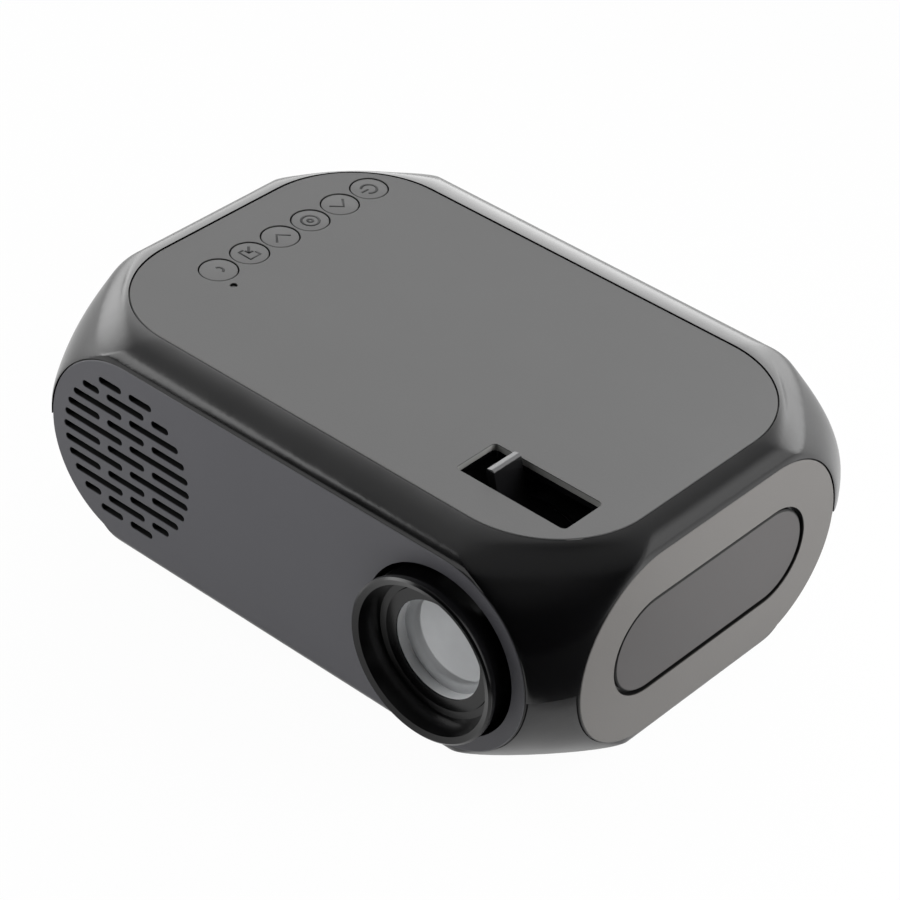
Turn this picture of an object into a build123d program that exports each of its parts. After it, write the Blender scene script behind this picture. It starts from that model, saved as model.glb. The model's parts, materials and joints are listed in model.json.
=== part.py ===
from build123d import *
from math import cos, radians, sin, sqrt, tan
import os

os.makedirs("parts", exist_ok=True)

# A palm-sized LED projector.  Millimetres, modelled about the centre of the case:
# +X along the front face from the speaker grille to the lens, -Y out of the lens, +Z up.

# ---- Case -------------------------------------------------------------------
case_length = 148.0
case_depth = 103.2
case_height = 55.3
top_inset_x = 6.25  # from the end of the case to the flat top panel
top_inset_y = 9.25
top_corner = 24.45
front_inset = 6.0  # from the end of the case to the stadium panels on the front and the rear
end_inset = 9.75  # from the front of the case to the stadium panel on each end
panel_inset = 4.45  # from the top and the bottom to all four stadium panels
corner_fullness = 0.15  # weight of a corner curve: 0 is a straight bevel
corner_taper = 2.4  # how late the flat sides give way to the corners towards the top
skin = 1.8  # moulded wall where no panel backs it
root = 0.5  # how far a boss or a post runs into the wall that it stands on
panel_thickness = 1.6
ledge_thickness = 1.4  # shell floor behind each panel
panel_gap = 0.2
panel_bevel = 0.3
lower_step = 0.6  # the lower shell stands in from the upper one

# ---- Focus slot, buttons and pin-hole ---------------------------------------------
slot_length = 28.8
slot_width = 12.1
slot_corner = 1.2
slot_from_middle = 26.1  # towards the front
button_diameter = 8.5
button_gap = 0.3
button_travel = 0.8
button_proud = -0.1  # the caps rest just under the panel's face
button_pitch = 9.565
first_button_y = -15.33
button_from_edge = 14.3  # from the end of the top panel
button_names = [
    "return_button",
    "source_button",
    "previous_button",
    "select_button",
    "next_button",
    "power_button",
]
lamp_hole_radius = 0.87
lamp_from_button = (6.55, -1.92)

# ---- Lens and focus -----------------------------------------------------------
lens_offset = 0.13  # the lens and the grille stand this much outside the centres of the panel's ends
lens_hole_radius = 19.6
rim_radius = 18.8
rim_proud = 5.5  # how far the flared rim stands out of the front panel
rim_lip_radius = 17.0
flare_radius = 15.6
eye_radius = 11.3  # black edge round the front glass
barrel_radius = 18.2
ring_seat_radius = 17.0
guide_radius = 16.3
running_gap = 0.08
ring_radius = 19.2
ring_rear = 19.6  # from the case centre plane, towards the front
ring_length = 11.7
lever_angle = -15.5
lever_thickness = 2.3
lever_width = 8.3
lever_proud = 1.3
lever_from_ring = 5.3  # from the rear face of the ring to the middle of the lever
focus_back = 10.0  # degrees from the rest position to each end of the slot
focus_forward = 40.0
focus_lead = 14.4  # travel of the barrel for one full turn

# ---- Light engine ----------------------------------------------------------
fold_y = 12.0  # the beam runs along +X at this depth, then folds to -Y
engine_half_width = 20.0
engine_wall = 1.6
engine_from_end = 58.0  # from the left end of the case to the lamp
mirror_thickness = 2.0
mirror_length = 46.0

# ---- Fits ----------------------------------------------------------------
seat_gap = 0.1
loose_gap = 0.3
board_thickness = 1.6

half_x = case_length / 2
half_y = case_depth / 2
half_z = case_height / 2
top_length = case_length - 2 * top_inset_x
top_depth = case_depth - 2 * top_inset_y
front_length = case_length - 2 * front_inset
end_length = case_depth - 2 * end_inset
panel_height = case_height - 2 * panel_inset
panel_rise = panel_height / 2
top_face = half_z
inner_top = half_z - panel_thickness - ledge_thickness
inner_front = half_y - panel_thickness - ledge_thickness
inner_end = half_x - panel_thickness - ledge_thickness
lens_x = front_length / 2 - panel_rise + lens_offset
slot_y = -slot_from_middle
button_x = button_from_edge - top_length / 2
lamp_x = button_x + lamp_from_button[0]
lamp_y = first_button_y + lamp_from_button[1]
lever_y = -ring_rear - lever_from_ring
engine_left = engine_from_end - half_x
foot_height = 2.0
foot_sink = 0.5

# The origin of the finished part is under the middle of its bounding box.
place_y = rim_proud / 2
place_z = half_z + foot_height

# ---- Small helpers ---------------------------------------------------------


def block(x_span, y_span, z_span):
    """A box between two corners."""
    low = (min(x_span), min(y_span), min(z_span))
    size = (abs(x_span[1] - x_span[0]), abs(y_span[1] - y_span[0]), abs(z_span[1] - z_span[0]))
    return Pos(*low) * Box(*size, align=(Align.MIN, Align.MIN, Align.MIN))


def post(radius, centre, z_span):
    """A cylinder along Z."""
    bottom = Pos(centre[0], centre[1], min(z_span))
    height = abs(z_span[1] - z_span[0])
    return bottom * Cylinder(radius, height, align=(Align.CENTER, Align.CENTER, Align.MIN))


def drum(radius, centre, y_span):
    """A cylinder along Y, centre given as (x, z)."""
    plane = Plane(origin=(centre[0], min(y_span), centre[1]), x_dir=(1, 0, 0), z_dir=(0, 1, 0))
    return plane * Cylinder(radius, abs(y_span[1] - y_span[0]), align=(Align.CENTER, Align.CENTER, Align.MIN))


def disc(radius, centre, x_span):
    """A cylinder along X, centre given as (y, z)."""
    plane = Plane(origin=(min(x_span), centre[0], centre[1]), x_dir=(0, 1, 0), z_dir=(1, 0, 0))
    return plane * Cylinder(radius, abs(x_span[1] - x_span[0]), align=(Align.CENTER, Align.CENTER, Align.MIN))


def stadium_on_front(length, height, y_span, x=0.0):
    """A stadium prism along Y."""
    plane = Plane(origin=(x, min(y_span), 0), x_dir=(1, 0, 0), z_dir=(0, 1, 0))
    return extrude(plane * SlotOverall(length, height), abs(y_span[1] - y_span[0]))


def stadium_on_end(length, height, x_span):
    """A stadium prism along X."""
    plane = Plane(origin=(min(x_span), 0, 0), x_dir=(0, 1, 0), z_dir=(1, 0, 0))
    return extrude(plane * SlotOverall(length, height), abs(x_span[1] - x_span[0]))


def plate_on_top(length, depth, corner, z_span, centre=(0, 0)):
    """A rounded rectangular prism along Z."""
    plane = Plane(origin=(centre[0], centre[1], min(z_span)))
    return extrude(plane * RectangleRounded(length, depth, corner), abs(z_span[1] - z_span[0]))


def turned(points, x=lens_x):
    """A solid turned about the lens axis from (radius, y) points."""
    profile = make_face(Polyline(*[(x + radius, y, 0) for radius, y in points], close=True))
    return revolve(profile, Axis((x, 0, 0), (0, 1, 0)))


def lens_solid(radius, front, rear, front_bulge, rear_bulge):
    """A round lens on the lens axis; a bulge is positive outwards and negative where it is hollow."""
    edges = [
        lens_curve(radius, front, -front_bulge),
        Line((radius, front), (radius, rear)),
        lens_curve(radius, rear, rear_bulge),
        Line((0, rear + rear_bulge), (0, front - front_bulge)),
    ]
    return Pos(lens_x, 0, 0) * revolve(make_face(edges), Axis.Y)


def lens_curve(radius, edge, rise):
    """Half of a lens face, from the axis to the rim."""
    if rise == 0:
        return Line((0, edge), (radius, edge))
    return ThreePointArc((0, edge + rise), (radius * 0.5, edge + rise * 0.75), (radius, edge))


def save(shape, name):
    export_step(Pos(0, place_y, place_z) * shape, "parts/" + name + ".step")


# ---- The pillow-shaped case ----------------------------------------------------

corner_wall_share = 0.55  # keeps the wall's thickness round the bevelled corners
round_fullness = sqrt(0.5)  # this weight gives a round corner at the flat top
side_steps = 4
band_steps = 5


def pillow_section(inset, rise, inward, fullness):
    """One level of the pillow: flat sides joined by corner curves that are tangent to them."""
    share = rise ** corner_taper
    length = half_x - inset - inward[0]
    depth = half_y - inset - inward[1]
    tip_x = front_length / 2
    tip_y = end_length / 2
    flat_x = tip_x - (tip_x - (top_length / 2 - top_corner)) * share - corner_wall_share * inset
    flat_y = tip_y - (tip_y - (top_depth / 2 - top_corner)) * share - corner_wall_share * inset
    corners = []
    for x, y in ((1, -1), (1, 1), (-1, 1), (-1, -1)):
        ends = [(x * flat_x, y * depth), (x * length, y * flat_y)]
        if x * y > 0:
            ends.reverse()
        corners.append((ends[0], (x * length, y * depth), ends[1]))
    edges = []
    for here, after in zip(corners, corners[1:] + corners[:1]):
        edges.append(Bezier(*here, weights=[1, fullness, 1]))
        edges.append(Line(here[2], after[0]))
    return make_face(edges)


def half_pillow(inset, height_inset):
    """The upper half of the pillow: upright sides, then a quarter-round band up to the flat top."""
    height = half_z - height_inset
    band_start = panel_rise / half_z
    side_levels = [band_start * step / side_steps for step in range(side_steps + 1)]
    side = loft([Pos(0, 0, height * t) * pillow_section(inset, t, (0, 0), corner_fullness) for t in side_levels])
    band_levels = []
    for step in range(band_steps + 1):
        angle = radians(90 * step / band_steps)
        rise = band_start + (1 - band_start) * sin(angle)
        inward = 1 - cos(angle)
        fullness = corner_fullness + (round_fullness - corner_fullness) * inward ** 1.5
        section = pillow_section(inset, rise, (top_inset_x * inward, top_inset_y * inward), fullness)
        band_levels.append(Pos(0, 0, height * rise) * section)
    return side + loft(band_levels)


def cavity_limit():
    return Box(2 * inner_end, 2 * inner_front, 2 * inner_top)


def panel_pockets():
    """The recesses that the four side panels seat in."""
    grow = 2 * panel_gap
    floor_y = half_y - panel_thickness
    floor_x = half_x - panel_thickness
    front = stadium_on_front(front_length + grow, panel_height + grow, (-half_y - 1, -floor_y))
    rear = stadium_on_front(front_length + grow, panel_height + grow, (floor_y, half_y + 1))
    right = stadium_on_end(end_length + grow, panel_height + grow, (floor_x, half_x + 1))
    left = stadium_on_end(end_length + grow, panel_height + grow, (-half_x - 1, -floor_x))
    return [front, rear, right, left]


# ---- Where the case screws stand ------------------------------------------------------

case_screw_places = [
    (14.0 - half_x, 26.6 - half_y),
    (12.0 - half_x, half_y - 29.6),
    (half_x - 28.0, half_y - 14.1),
    (16.0, 10.1 - half_y),
]
boss_radius = 3.2
screw_radius = 1.5
screw_head_radius = 2.8
screw_head_height = 2.0
screw_head_sink = 8.0
screw_reach = 9.0  # into the upper boss

# ---- Boards -------------------------------------------------------------------

key_board_x = (button_x - 3.05, button_x + 10.45)
key_board_y = (first_button_y - 5.67, first_button_y + 53.33)
switch_body = 4.5
switch_height = 1.9
plunger_radius = 1.0
plunger_height = 0.5
wing_half_length = 4.9
wing_half_width = 3.0
flange_height = 0.8
flange_gap = 0.2
stem_radius = 1.5
stem_height = 0.7
switch_clearance = 0.1
flange_bottom = inner_top - flange_gap - flange_height
stem_bottom = flange_bottom - stem_height
switch_top = stem_bottom - button_travel - switch_clearance
key_board_top = switch_top - plunger_height - switch_height
key_board_bottom = key_board_top - board_thickness
key_post_places = [(key_board_x[1] - 2.6, key_board_y[0] + 9.0), (key_board_x[1] - 2.6, key_board_y[1] - 4.5)]
key_post_radius = 2.3

insert_length = 6.0
insert_clearance = 1.05
main_board_x = (21.0 - half_x, 24.0)
main_board_y = (-6.0, half_y - 4.1)
main_board_bottom = -half_z + insert_length + insert_clearance
main_board_top = main_board_bottom + board_thickness
board_post_inset = 4.0
board_post_x = (main_board_x[0] + board_post_inset, main_board_x[1] - board_post_inset)
board_post_y = (main_board_y[0] + board_post_inset, main_board_y[1] - 17.5)
board_post_places = [(x, y) for x in board_post_x for y in board_post_y]
board_post_radius = 3.0
chip_height = 1.2
chip_clearance = 0.2
board_screw_radius = 1.2
board_screw_head_radius = 2.2
board_screw_head_height = 1.2
board_screw_reach = 2.6
screw_hole_spare = 0.4  # below the tip

engine_half_height = -main_board_top - chip_height - chip_clearance - engine_wall
engine_bottom = -engine_half_height - engine_wall
engine_post_places = [(lens_x - 11.9, -4.0), (lens_x + 15.1, -6.0), (lens_x - 10.9, 22.0)]
engine_post_radius = 3.0

# ---- Rear sockets: centre x, width, height above the board, depth -------------------

socket_face = half_y - panel_thickness  # sockets end level with the back of the rear panel
dc_x, dc_width, dc_height, dc_depth = -46.0, 9.0, 11.0, 14.0
dc_bore_radius = 2.9
round_socket_rim = 1.0  # the panel's hole is this much wider than the bore
dc_pin_radius = 0.8
av_x, av_width, av_height, av_depth = -34.0, 7.0, 6.0, 13.0
av_bore_radius = 1.8
usb_x, usb_width, usb_height, usb_depth = -20.0, 13.1, 5.7, 14.0
hdmi_x, hdmi_width, hdmi_height, hdmi_depth = -2.0, 15.0, 5.6, 11.5
card_x, card_width, card_height, card_depth = 15.5, 14.6, 1.9, 14.5
socket_wall = 0.4
socket_back = 2.0  # closed end of a metal socket
usb_tongue_width = 10.8
usb_tongue_span = (2.6, 0.9)  # below the top of the socket
usb_tongue_recess = 1.0
hdmi_tongue_width = 9.8
hdmi_tongue_thickness = 1.0
hdmi_tongue_recess = 1.2
tongue_root = 1.0  # from the back of the socket
dc_bore_depth = 10.0
dc_pin_depth = 11.0
dc_pin_recess = 1.5
window_gap = 0.3

# ---- Tripod insert and feet -----------------------------------------------------

insert_radius = 4.5
insert_bore = 2.6
insert_boss_radius = 6.8
foot_radius = 5.5
foot_inset = (24.0, 24.6)
foot_bevel = 0.5
foot_places = [(x * (half_x - foot_inset[0]), y * (half_y - foot_inset[1])) for x in (-1, 1) for y in (-1, 1)]

# ---- Grille and vents ---------------------------------------------------------------

grille_x = -lens_x
grille_radius = 19.24
grille_pitch = 3.37
grille_slot = 1.77
grille_gap = 2.25
grille_middle = 11.34
grille_rows = 11
grille_end_rise = 0.65
speaker_opening = 19.4

vent_count = 9
vent_pitch = 4.6
vent_width = 2.0
vent_length = 22.0
vent_centre = (-12.0, -26.0)

inlay_length = 61.1
inlay_height = 22.4
inlay_groove = 0.8
inlay_sink = 0.25
inlay_ledge = (3.0, 2.5)  # the shell floor under the ends and the sides of the inlay
louvre_count = 5
louvre_pitch = 3.6
louvre_width = 1.8
louvre_margin = 3.0  # what the two ends leave of the inlay together


def focus_slot(z_span, grow=0.0):
    size = (slot_length + 2 * grow, slot_width + 2 * grow)
    return plate_on_top(size[0], size[1], slot_corner + grow, z_span, (lens_x, slot_y))


def button_y(index):
    return first_button_y + index * button_pitch


# ---- Shells --------------------------------------------------------------------


def upper_shell():
    """Gloss upper half: pillow band, pockets for the panels, bosses for screws and the key board."""
    hollow = half_pillow(skin, skin) & cavity_limit()
    bosses = [post(boss_radius, place, (0, inner_top + root)) for place in case_screw_places]
    posts = [post(key_post_radius, place, (key_board_top, inner_top + root)) for place in key_post_places]
    body = half_pillow(0, 0) - hollow
    for boss in bosses + posts:
        body += boss
    grow = 2 * panel_gap
    pocket = plate_on_top(
        top_length + grow, top_depth + grow, top_corner + panel_gap, (top_face - panel_thickness, top_face + 1)
    )
    body -= pocket
    for recess in panel_pockets():
        body -= recess
    floor_span = (inner_top - 1, top_face)
    body -= focus_slot(floor_span)
    for index in range(len(button_names)):
        body -= post(button_diameter / 2 + button_gap, (button_x, button_y(index)), floor_span)
    body -= post(lamp_hole_radius + loose_gap, (lamp_x, lamp_y), floor_span)
    body -= side_openings()
    for place in case_screw_places:
        body -= post(screw_radius + seat_gap, place, (-1, screw_reach + 1))
    for place in key_post_places:
        hole_span = (key_board_top - 1, key_board_top + board_screw_reach + screw_hole_spare)
        body -= post(board_screw_radius + seat_gap, place, hole_span)
    return body


def side_openings():
    """What passes through the shell floors: lens, speaker, louvres and rear sockets."""
    cut = drum(lens_hole_radius, (lens_x, 0), (-half_y - 1, -inner_front + 1))
    cut += drum(speaker_opening, (grille_x, 0), (-half_y - 1, -inner_front + 1))
    window = stadium_on_end(
        inlay_length - 2 * inlay_ledge[0], inlay_height - 2 * inlay_ledge[1], (-half_x - 1, -inner_end + 1)
    )
    cut += window
    low = min(socket[1][0] for socket in socket_windows())
    high = max(socket[1][1] for socket in socket_windows())
    left = min(socket[0][0] for socket in socket_windows())
    right = max(socket[0][1] for socket in socket_windows())
    cut += block((left - 1, right + 1), (inner_front - 1, half_y + 1), (low - 0.5, high + 0.5))
    return cut


def socket_windows():
    """Rectangular windows in the rear panel, as x and z spans."""
    sockets = [
        (dc_x, dc_width, dc_height),
        (av_x, av_width, av_height),
        (usb_x, usb_width, usb_height),
        (hdmi_x, hdmi_width, hdmi_height),
        (card_x, card_width, card_height),
    ]
    spans = []
    for x, width, height in sockets:
        x_span = (x - width / 2 - window_gap, x + width / 2 + window_gap)
        z_span = (main_board_top - window_gap, main_board_top + height + window_gap)
        spans.append((x_span, z_span))
    return spans


def lower_shell():
    """Satin lower half with board posts, vents, the tripod boss and foot recesses."""
    outer = half_pillow(lower_step, 0)
    hollow = half_pillow(skin + lower_step, skin) & cavity_limit()
    body = mirror(outer - hollow, Plane.XY)
    floor = -inner_top
    for place in case_screw_places:
        body += post(boss_radius, place, (floor - root, 0))
    for place in board_post_places:
        body += post(board_post_radius, place, (floor - root, main_board_bottom))
    for place in engine_post_places:
        body += post(engine_post_radius, place, (floor - root, engine_bottom))
    body += post(insert_boss_radius, (0, 0), (floor - root, -half_z + insert_length))
    for recess in panel_pockets():
        body -= recess
    body -= side_openings()
    head_seat = -half_z + screw_head_sink
    for place in case_screw_places:
        body -= post(screw_head_radius + loose_gap, place, (-half_z - 1, head_seat))
        body -= post(screw_radius + seat_gap, place, (-half_z - 1, 1))
    for place in board_post_places:
        reach = main_board_bottom + board_thickness - board_screw_reach - screw_hole_spare
        body -= post(board_screw_radius + seat_gap, place, (reach, 0))
    body -= post(insert_radius, (0, 0), (-half_z - 1, -half_z + insert_length + 1))
    for place in foot_places:
        body -= post(foot_radius + seat_gap, place, (-half_z - 1, -half_z + foot_sink))
    first = vent_centre[0] - vent_pitch * (vent_count - 1) / 2
    for index in range(vent_count):
        centre = (first + index * vent_pitch, vent_centre[1])
        body -= plate_on_top(vent_width, vent_length, vent_width / 2 - 0.01, (-half_z - 1, floor + 1), centre)
    return body


# ---- Panels -------------------------------------------------------------------


def bevel_outer(panel, axis, at_high):
    """A small bevel round the outline of a panel's outer face."""
    faces = panel.faces().sort_by(axis)
    face = faces[-1] if at_high else faces[0]
    return chamfer(face.outer_wire().edges(), panel_bevel)


def top_panel():
    body = plate_on_top(top_length, top_depth, top_corner, (top_face - panel_thickness, top_face))
    body = bevel_outer(body, Axis.Z, True)
    span = (top_face - panel_thickness - 1, top_face + 1)
    body -= focus_slot(span)
    for index in range(len(button_names)):
        body -= post(button_diameter / 2 + button_gap, (button_x, button_y(index)), span)
    body -= post(lamp_hole_radius, (lamp_x, lamp_y), span)
    return body


def grille_slots():
    """Staggered slots clipped to a circle, as (centre x, centre z, length)."""
    slots = []
    for row in range(grille_rows):
        z = (row - (grille_rows - 1) / 2) * grille_pitch
        reach = sqrt(grille_radius ** 2 - (abs(z) + grille_end_rise) ** 2)
        if row % 2:
            inner = grille_middle / 2 + grille_gap
            slots.append((0.0, z, grille_middle))
        else:
            inner = grille_gap / 2
        for side in (-1, 1):
            slots.append((side * (inner + reach) / 2, z, reach - inner))
    return slots


def front_panel():
    """Stadium panel with the lens hole and the speaker grille."""
    body = stadium_on_front(front_length, panel_height, (-half_y, -half_y + panel_thickness))
    body = bevel_outer(body, Axis.Y, False)
    body -= drum(lens_hole_radius, (lens_x, 0), (-half_y - 1, -half_y + panel_thickness + 1))
    plane = Plane(origin=(grille_x, -half_y - 1, 0), x_dir=(1, 0, 0), z_dir=(0, 1, 0))
    # The plane's own y runs down, and the pattern is the same above and below.
    pattern = Sketch() + [Pos(x, z) * SlotOverall(length, grille_slot) for x, z, length in grille_slots()]
    body -= extrude(plane * pattern, panel_thickness + 2)
    return body


def rear_panel():
    body = stadium_on_front(front_length, panel_height, (half_y - panel_thickness, half_y))
    body = bevel_outer(body, Axis.Y, True)
    for index, (x_span, z_span) in enumerate(socket_windows()):
        if index < 2:
            # Round sockets show through a round hole.
            radius = (dc_bore_radius, av_bore_radius)[index] + round_socket_rim
            centre = (sum(x_span) / 2, socket_axis(index))
            body -= drum(radius, centre, (half_y - panel_thickness - 1, half_y + 1))
        else:
            body -= block(x_span, (half_y - panel_thickness - 1, half_y + 1), z_span)
    return body


def socket_axis(index):
    """Height of the bore of the two round sockets."""
    return main_board_top + (dc_height / 2, av_height / 2)[index]


def end_panel(side):
    """Stadium end panel with an opening for its inlay; side is 1 on the right."""
    outer = side * half_x
    body = stadium_on_end(end_length, panel_height, (outer, outer - side * panel_thickness))
    body = bevel_outer(body, Axis.X, side > 0)
    opening = (inlay_length + 2 * inlay_groove, inlay_height + 2 * inlay_groove)
    body -= stadium_on_end(opening[0], opening[1], (outer + side, outer - side * (panel_thickness + 1)))
    return body


def end_inlay():
    """Plain stadium inlay on the right end."""
    span = (half_x - panel_thickness, half_x - inlay_sink)
    body = stadium_on_end(inlay_length, inlay_height, span)
    return bevel_outer(body, Axis.X, True)


def end_louvre():
    """The left end's inlay is the fan outlet: the same stadium with long slots."""
    span = (-half_x + inlay_sink, -half_x + panel_thickness)
    body = stadium_on_end(inlay_length, inlay_height, span)
    body = bevel_outer(body, Axis.X, False)
    for index in range(louvre_count):
        z = (index - (louvre_count - 1) / 2) * louvre_pitch
        length = inlay_length - inlay_height + sqrt((inlay_height / 2) ** 2 - z ** 2) - louvre_margin
        plane = Plane(origin=(-half_x - 1, 0, z), x_dir=(0, 1, 0), z_dir=(1, 0, 0))
        body -= extrude(plane * SlotOverall(length, louvre_width), panel_thickness + 2)
    return body


# ---- Fastened pieces under and in the case ----------------------------------------------


def rubber_feet():
    span = (-half_z - foot_height, -half_z + foot_sink)
    feet = []
    for place in foot_places:
        foot = post(foot_radius, place, span)
        feet.append(chamfer(foot.edges().sort_by(Axis.Z)[0], foot_bevel))
    return Compound(feet)


def screw(place, head_seat, tip, head_radius, head_height, shank_radius, up):
    """A pan-head screw along Z with a hex socket; up is 1 where the tip points up."""
    head = post(head_radius, place, (head_seat - up * head_height, head_seat))
    shank = post(shank_radius, place, (head_seat, tip))
    socket = Pos(place[0], place[1], head_seat - up * head_height) * extrude(
        RegularPolygon(head_radius * 0.45, 6), head_height * 0.5, both=True
    )
    return head + shank - socket


def case_screws():
    head_seat = -half_z + screw_head_sink
    screws = []
    for place in case_screw_places:
        screws.append(
            screw(place, head_seat, screw_reach, screw_head_radius, screw_head_height, screw_radius, 1)
        )
    return Compound(screws)


def board_screws():
    sizes = (board_screw_head_radius, board_screw_head_height, board_screw_radius)
    screws = []
    for place in board_post_places:
        screws.append(screw(place, main_board_top, main_board_top - board_screw_reach, *sizes, -1))
    for place in key_post_places:
        screws.append(screw(place, key_board_bottom, key_board_bottom + board_screw_reach + 1, *sizes, 1))
    return Compound(screws)


def tripod_insert():
    body = post(insert_radius, (0, 0), (-half_z, -half_z + insert_length))
    return body - post(insert_bore, (0, 0), (-half_z - 1, -half_z + insert_length + 1))


# ---- Key board, switches, buttons -------------------------------------------------------


def key_board():
    body = block(key_board_x, key_board_y, (key_board_bottom, key_board_top))
    for place in key_post_places:
        body -= post(board_screw_radius + seat_gap, place, (key_board_bottom - 1, key_board_top + 1))
    return body


def tact_switches():
    switches = []
    for index in range(len(button_names)):
        y = button_y(index)
        half = switch_body / 2
        base_top = key_board_top + switch_height
        base = block((button_x - half, button_x + half), (y - half, y + half), (key_board_top, base_top))
        switches.append(base + post(plunger_radius, (button_x, y), (base_top, switch_top)))
    return Compound(switches)


def button(index):
    """A round cap, the wings that keep it in its hole and the stem over the switch."""
    place = (button_x, button_y(index))
    cap = post(button_diameter / 2, place, (flange_bottom, top_face + button_proud))
    cap = fillet(cap.edges().sort_by(Axis.Z)[-1], 0.25)
    wings = block(
        (place[0] - wing_half_length, place[0] + wing_half_length),
        (place[1] - wing_half_width, place[1] + wing_half_width),
        (flange_bottom, flange_bottom + flange_height),
    )
    stem = post(stem_radius, place, (stem_bottom, flange_bottom))
    return cap + wings + stem


def status_light_pipe():
    shoulder = inner_top - loose_gap
    pin = post(lamp_hole_radius - seat_gap, (lamp_x, lamp_y), (shoulder, top_face - 0.4))
    return pin + post(lamp_hole_radius + 0.4, (lamp_x, lamp_y), (key_board_top, shoulder))


# ---- Main board and sockets -------------------------------------------------------------

# x, y and side of each square chip
chips = [(-30.0, 14.0, 12.0), (-8.0, 12.0, 8.0), (-34.0, 0.0, 6.0), (8.0, 10.0, 7.0)]


def main_board():
    """Circuit board with its chips."""
    body = block(main_board_x, main_board_y, (main_board_bottom, main_board_top))
    for x, y, size in chips:
        half = size / 2
        body += block((x - half, x + half), (y - half, y + half), (main_board_top, main_board_top + chip_height))
    for place in board_post_places:
        body -= post(board_screw_radius + seat_gap, place, (main_board_bottom - 1, 0))
    return body


def socket_shell(x, width, height, depth):
    """A metal socket box on the board, open to the rear."""
    outer = block(
        (x - width / 2, x + width / 2), (socket_face - depth, socket_face), (main_board_top, main_board_top + height)
    )
    inner = block(
        (x - width / 2 + socket_wall, x + width / 2 - socket_wall),
        (socket_face - depth + socket_back, socket_face + 1),
        (main_board_top + socket_wall, main_board_top + height - socket_wall),
    )
    return outer - inner


def usb_socket():
    tongue = block(
        (usb_x - usb_tongue_width / 2, usb_x + usb_tongue_width / 2),
        (socket_face - usb_depth + tongue_root, socket_face - usb_tongue_recess),
        (main_board_top + usb_height - usb_tongue_span[0], main_board_top + usb_height - usb_tongue_span[1]),
    )
    return socket_shell(usb_x, usb_width, usb_height, usb_depth) + tongue


def hdmi_socket():
    body = socket_shell(hdmi_x, hdmi_width, hdmi_height, hdmi_depth)
    middle = main_board_top + hdmi_height / 2
    tongue = block(
        (hdmi_x - hdmi_tongue_width / 2, hdmi_x + hdmi_tongue_width / 2),
        (socket_face - hdmi_depth + tongue_root, socket_face - hdmi_tongue_recess),
        (middle - hdmi_tongue_thickness / 2, middle + hdmi_tongue_thickness / 2),
    )
    return body + tongue


def card_socket():
    return socket_shell(card_x, card_width, card_height, card_depth)


def av_socket():
    """Four-pole jack: a block with one round bore."""
    axis = (av_x, socket_axis(1))
    body = block(
        (av_x - av_width / 2, av_x + av_width / 2),
        (socket_face - av_depth, socket_face),
        (main_board_top, main_board_top + av_height),
    )
    return body - drum(av_bore_radius, axis, (socket_face - av_depth + 1, socket_face + 1))


def dc_socket():
    """Barrel power socket with its centre pin."""
    axis = (dc_x, socket_axis(0))
    body = block(
        (dc_x - dc_width / 2, dc_x + dc_width / 2),
        (socket_face - dc_depth, socket_face),
        (main_board_top, main_board_top + dc_height),
    )
    body -= drum(dc_bore_radius, axis, (socket_face - dc_bore_depth, socket_face + 1))
    return body + drum(dc_pin_radius, axis, (socket_face - dc_pin_depth, socket_face - dc_pin_recess))


# ---- Speaker -----------------------------------------------------------------------

speaker_radius = 20.4
speaker_flange = 1.6
basket_radius = 17.6
basket_back = 10.4
magnet_radius = 11.0
magnet_length = 6.5
surround_radius = 13.35
surround_half = 1.1
cap_radius = 6.0
cap_rise = 2.0
cone_seat = 1.3
cone_thickness = 0.5
cone_depth = 4.0


def speaker_basket():
    """Pressed basket: a flange against the shell, a ledge for the cone and a tapered back."""
    front = -inner_front
    wall = 0.8
    ledge = front + cone_seat + cone_thickness
    profile = [
        (speaker_radius, front),
        (speaker_radius, front + speaker_flange),
        (basket_radius + wall, front + speaker_flange),
        (basket_radius + wall, ledge + wall),
        (magnet_radius + wall, front + basket_back),
        (cap_radius, front + basket_back),
        (cap_radius, front + basket_back - wall),
        (magnet_radius, front + basket_back - wall),
        (basket_radius - wall, ledge),
        (basket_radius, ledge),
        (basket_radius, front),
    ]
    return turned(profile, grille_x)


def speaker_cone():
    """Rolled surround, paper cone and dust cap as one moulding, seated in the basket rim."""
    seat = -inner_front + cone_seat
    outer = basket_radius - seat_gap / 2
    roll_in = surround_radius - surround_half
    roll_out = surround_radius + surround_half
    throat = seat + cone_depth
    crown = throat - cap_rise
    rolled = ThreePointArc((roll_in, seat), (surround_radius, seat - surround_half), (roll_out, seat))
    cap_front = ThreePointArc((0, crown), (cap_radius * 0.5, crown + cap_rise * 0.25), (cap_radius, throat))
    behind = cone_thickness
    edges = [
        Line((outer, seat), (roll_out, seat)),
        rolled,
        Line((roll_in, seat), (cap_radius, throat)),
        cap_front,
        Line((0, crown), (0, throat + behind)),
        Line((0, throat + behind), (cap_radius, throat + behind)),
        Line((cap_radius, throat + behind), (roll_in, seat + behind)),
        Line((roll_in, seat + behind), (outer, seat + behind)),
        Line((outer, seat + behind), (outer, seat)),
    ]
    return Pos(grille_x, 0, 0) * revolve(make_face(edges), Axis.Y)


def speaker_magnet():
    front = -inner_front + basket_back
    return drum(magnet_radius, (grille_x, 0), (front, front + magnet_length))


# ---- Cooling -------------------------------------------------------------------------

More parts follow.
